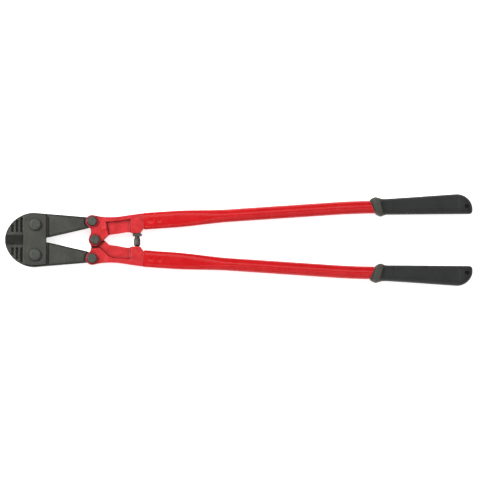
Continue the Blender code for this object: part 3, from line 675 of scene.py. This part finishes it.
def tube_ring(station, inset=0.0, steps=72):
    """The tube's section: a flat oval in front, and round behind."""
    share = smooth_share(station, SOCKET_END, ROUND_START)
    half_width = SOCKET_HALF_WIDTH + (TUBE_RADIUS - SOCKET_HALF_WIDTH) * share - inset
    half_thick = SOCKET_HALF_THICK + (TUBE_RADIUS - SOCKET_HALF_THICK) * share - inset
    power = SOCKET_POWER + (2.0 - SOCKET_POWER) * share
    offset, angle = tube_centre(station)
    ring = []
    for across, up in superellipse(half_width, half_thick, power, steps):
        ring.append((
            station - across * math.sin(angle), offset + across * math.cos(angle),
            up - crimp(station, across, up),
        ))
    return ring


def tube_shape():
    rings = [tube_ring(TUBE_START + back, inset) for back, inset in TUBE_MOUTH]
    for run in TUBE_RUNS:
        rings += [tube_ring(station) for station in spread(*run)]
    return loft(rings)


# ---------------------------------------------------------------- grips

def grip_edges(station):
    """Offsets of the grip's inner and outer edges, with its round tip and heel."""
    inner = GRIP_INNER + (station - GRIP_START) * GRIP_INNER_FLARE
    outer = GRIP_OUTER + (station - GRIP_START) * GRIP_OUTER_FLARE
    if station > TIP_CENTRE[0]:
        share = min(1.0, (station - TIP_CENTRE[0]) / (GRIP_TIP - TIP_CENTRE[0]))
        full = GRIP_OUTER + (TIP_CENTRE[0] - GRIP_START) * GRIP_OUTER_FLARE - TIP_CENTRE[1]
        outer = TIP_CENTRE[1] + full * math.sqrt(1 - share * share)
    heel = GRIP_TIP - HEEL_RADIUS
    if station > heel:
        share = min(1.0, (station - heel) / HEEL_RADIUS)
        inner += HEEL_RADIUS * (1 - math.sqrt(1 - share * share))
    return inner, outer


def grip_half_thick(station):
    share = max(0.0, (station - TIP_ROUND_START) / TIP_ROUND_LENGTH)
    thinning = GRIP_THINNING * smooth_share(station, THINNING_START, THINNING_END)
    return GRIP_HALF_THICK * (1 - share ** 3) ** 0.5 * (1 - thinning)


def grip_ring(station, inner, outer, half_thick, lean, power, steps=96):
    middle_line, half = (inner + outer) / 2, (outer - inner) / 2
    ring = []
    for across, up in superellipse(half, half_thick, power, steps):
        ring.append((station - lean * across, middle_line + across, up))
    return ring


def panel_depth(station, offset, inner, outer):
    """How deep the flat panel in the grip's face is here."""
    ends = min(station - PANEL_START, PANEL_END - station)
    near = min(ends, offset - inner - PANEL_MARGIN, outer - PANEL_MARGIN - offset)
    return PANEL_DEPTH * smooth_share(near, 0.0, PANEL_SIDE)


def panelled_ring(station):
    """A ring of the grip behind its collar, with the panel sunk in both faces."""
    inner, outer = grip_edges(station)
    settled = smooth_share(station, SETTLE_START, SETTLE_END)
    lean = GRIP_LEAN * (1 - settled)
    power = GRIP_POWER + GRIP_POWER_GAIN * settled
    ring = grip_ring(station, inner, outer, grip_half_thick(station), lean, power)
    return [(x, y, z - math.copysign(panel_depth(x, y, inner, outer), z)) for x, y, z in ring]


def grip_shape():
    rings = [grip_ring(*section) for section in COLLAR]
    for run in GRIP_RUNS:
        rings += [panelled_ring(station) for station in spread(*run)]
    return loft(rings)


def recess_shape():
    """The cutter of a recess, with a small chamfer at its floor and a flared mouth."""
    face = grip_half_thick(RECESS[0])
    return turned([
        (RECESS_RADIUS - 0.6, face - RECESS_DEPTH),
        (RECESS_RADIUS, face - RECESS_DEPTH + 0.6),
        (RECESS_RADIUS, face - 0.8),
        (RECESS_RADIUS + 0.25, face - 0.3),
        (RECESS_RADIUS + 2.5, face + 1.6),
    ], steps=40)


def cut_recesses(grip, place):
    """The moulded recess in each face of the grip's tip."""
    surface = grip.data.materials[0]
    for turn in (0, math.pi):
        shape = recess_shape()
        mesh = bpy.data.meshes.new("recess")
        shape.to_mesh(mesh)
        shape.free()
        mesh.transform(place @ Matrix.Translation((*RECESS, 0)) @ Matrix.Rotation(turn, 4, "X"))
        tool = bpy.data.objects.new("recess", mesh)
        bpy.context.scene.collection.objects.link(tool)
        cut = grip.modifiers.new("recess", "BOOLEAN")
        cut.object = tool
        cut.solver = "MANIFOLD"
        mesh = applied(grip)
        bpy.data.objects.remove(tool)
    mesh.materials.clear()
    mesh.materials.append(surface)
    mesh.shade_smooth()
    mesh.set_sharp_from_angle(angle=math.radians(CUT_CREASE))


def add_tubes_and_grips(paint, rubber):
    for side, turned_over in (("upper", False), ("lower", True)):
        body, place = side + "_handle", on_drawing(turned_over)
        tube, grip = side + "_handle_tube", side + "_grip"
        finished(side + "_tube_skin", tube_shape(), place, paint, body, tube, DRAWN_CREASE)
        sleeve = finished(grip + "_skin", grip_shape(), place, rubber, body, grip, DRAWN_CREASE)
        cut_recesses(sleeve, place)


# ---------------------------------------------------------------- bolts, washers and nuts

def add_hardware(surface):
    for place in ("upper_link", "lower_link", "centre", "upper_jaw", "lower_jaw"):
        for kind in ("bolt", "washer", "nut"):
            soften(f"{place}_{kind}", surface)
    soften("stop_lock_nut", surface)
    soften("stop_screw", surface)


# ---------------------------------------------------------------- studio

def add_floor():
    bpy.ops.mesh.primitive_plane_add(size=FLOOR_SIZE, location=(0, 0, FLOOR_DROP))
    floor = bpy.context.object
    floor.name = "studio_floor"
    floor.data.materials.append(lit_table())


def add_lights():
    world = bpy.data.worlds.new("studio")
    world.use_nodes = True
    background = world.node_tree.nodes["Background"]
    background.inputs["Color"].default_value = (1, 1, 1, 1)
    background.inputs["Strength"].default_value = WORLD_STRENGTH
    bpy.context.scene.world = world
    bpy.context.scene.view_settings.view_transform = "Standard"
    for name, place, size, power in LIGHTS:
        light = bpy.data.lights.new(name, "AREA")
        light.energy = power
        light.shape = "RECTANGLE"
        light.size, light.size_y = size
        item = bpy.data.objects.new(name, light)
        item.location = place
        item.rotation_euler = (-Vector(place)).to_track_quat("-Z", "Y").to_euler()
        bpy.context.scene.collection.objects.link(item)


def add_camera():
    camera = bpy.data.cameras.new("camera")
    camera.lens = CAMERA_LENS
    camera.clip_end = CAMERA_REACH
    item = bpy.data.objects.new("camera", camera)
    bpy.context.scene.collection.objects.link(item)
    elevation = math.radians(CAMERA_ELEVATION)
    target = Vector((CAMERA_TARGET_X, 0.0, middle_z))
    item.location = target + CAMERA_DISTANCE * Vector((0, -math.cos(elevation), math.sin(elevation)))
    item.rotation_euler = (math.pi / 2 - elevation, 0, 0)
    bpy.context.scene.camera = item


add_levers(lever_paint())
forged = forged_steel()
add_jaws(forged, ground_edge())
add_tubes_and_grips(tube_paint(), grip_rubber())
add_side_plates(forged)
add_hardware(bolt_steel())
add_floor()
add_lights()
add_camera()
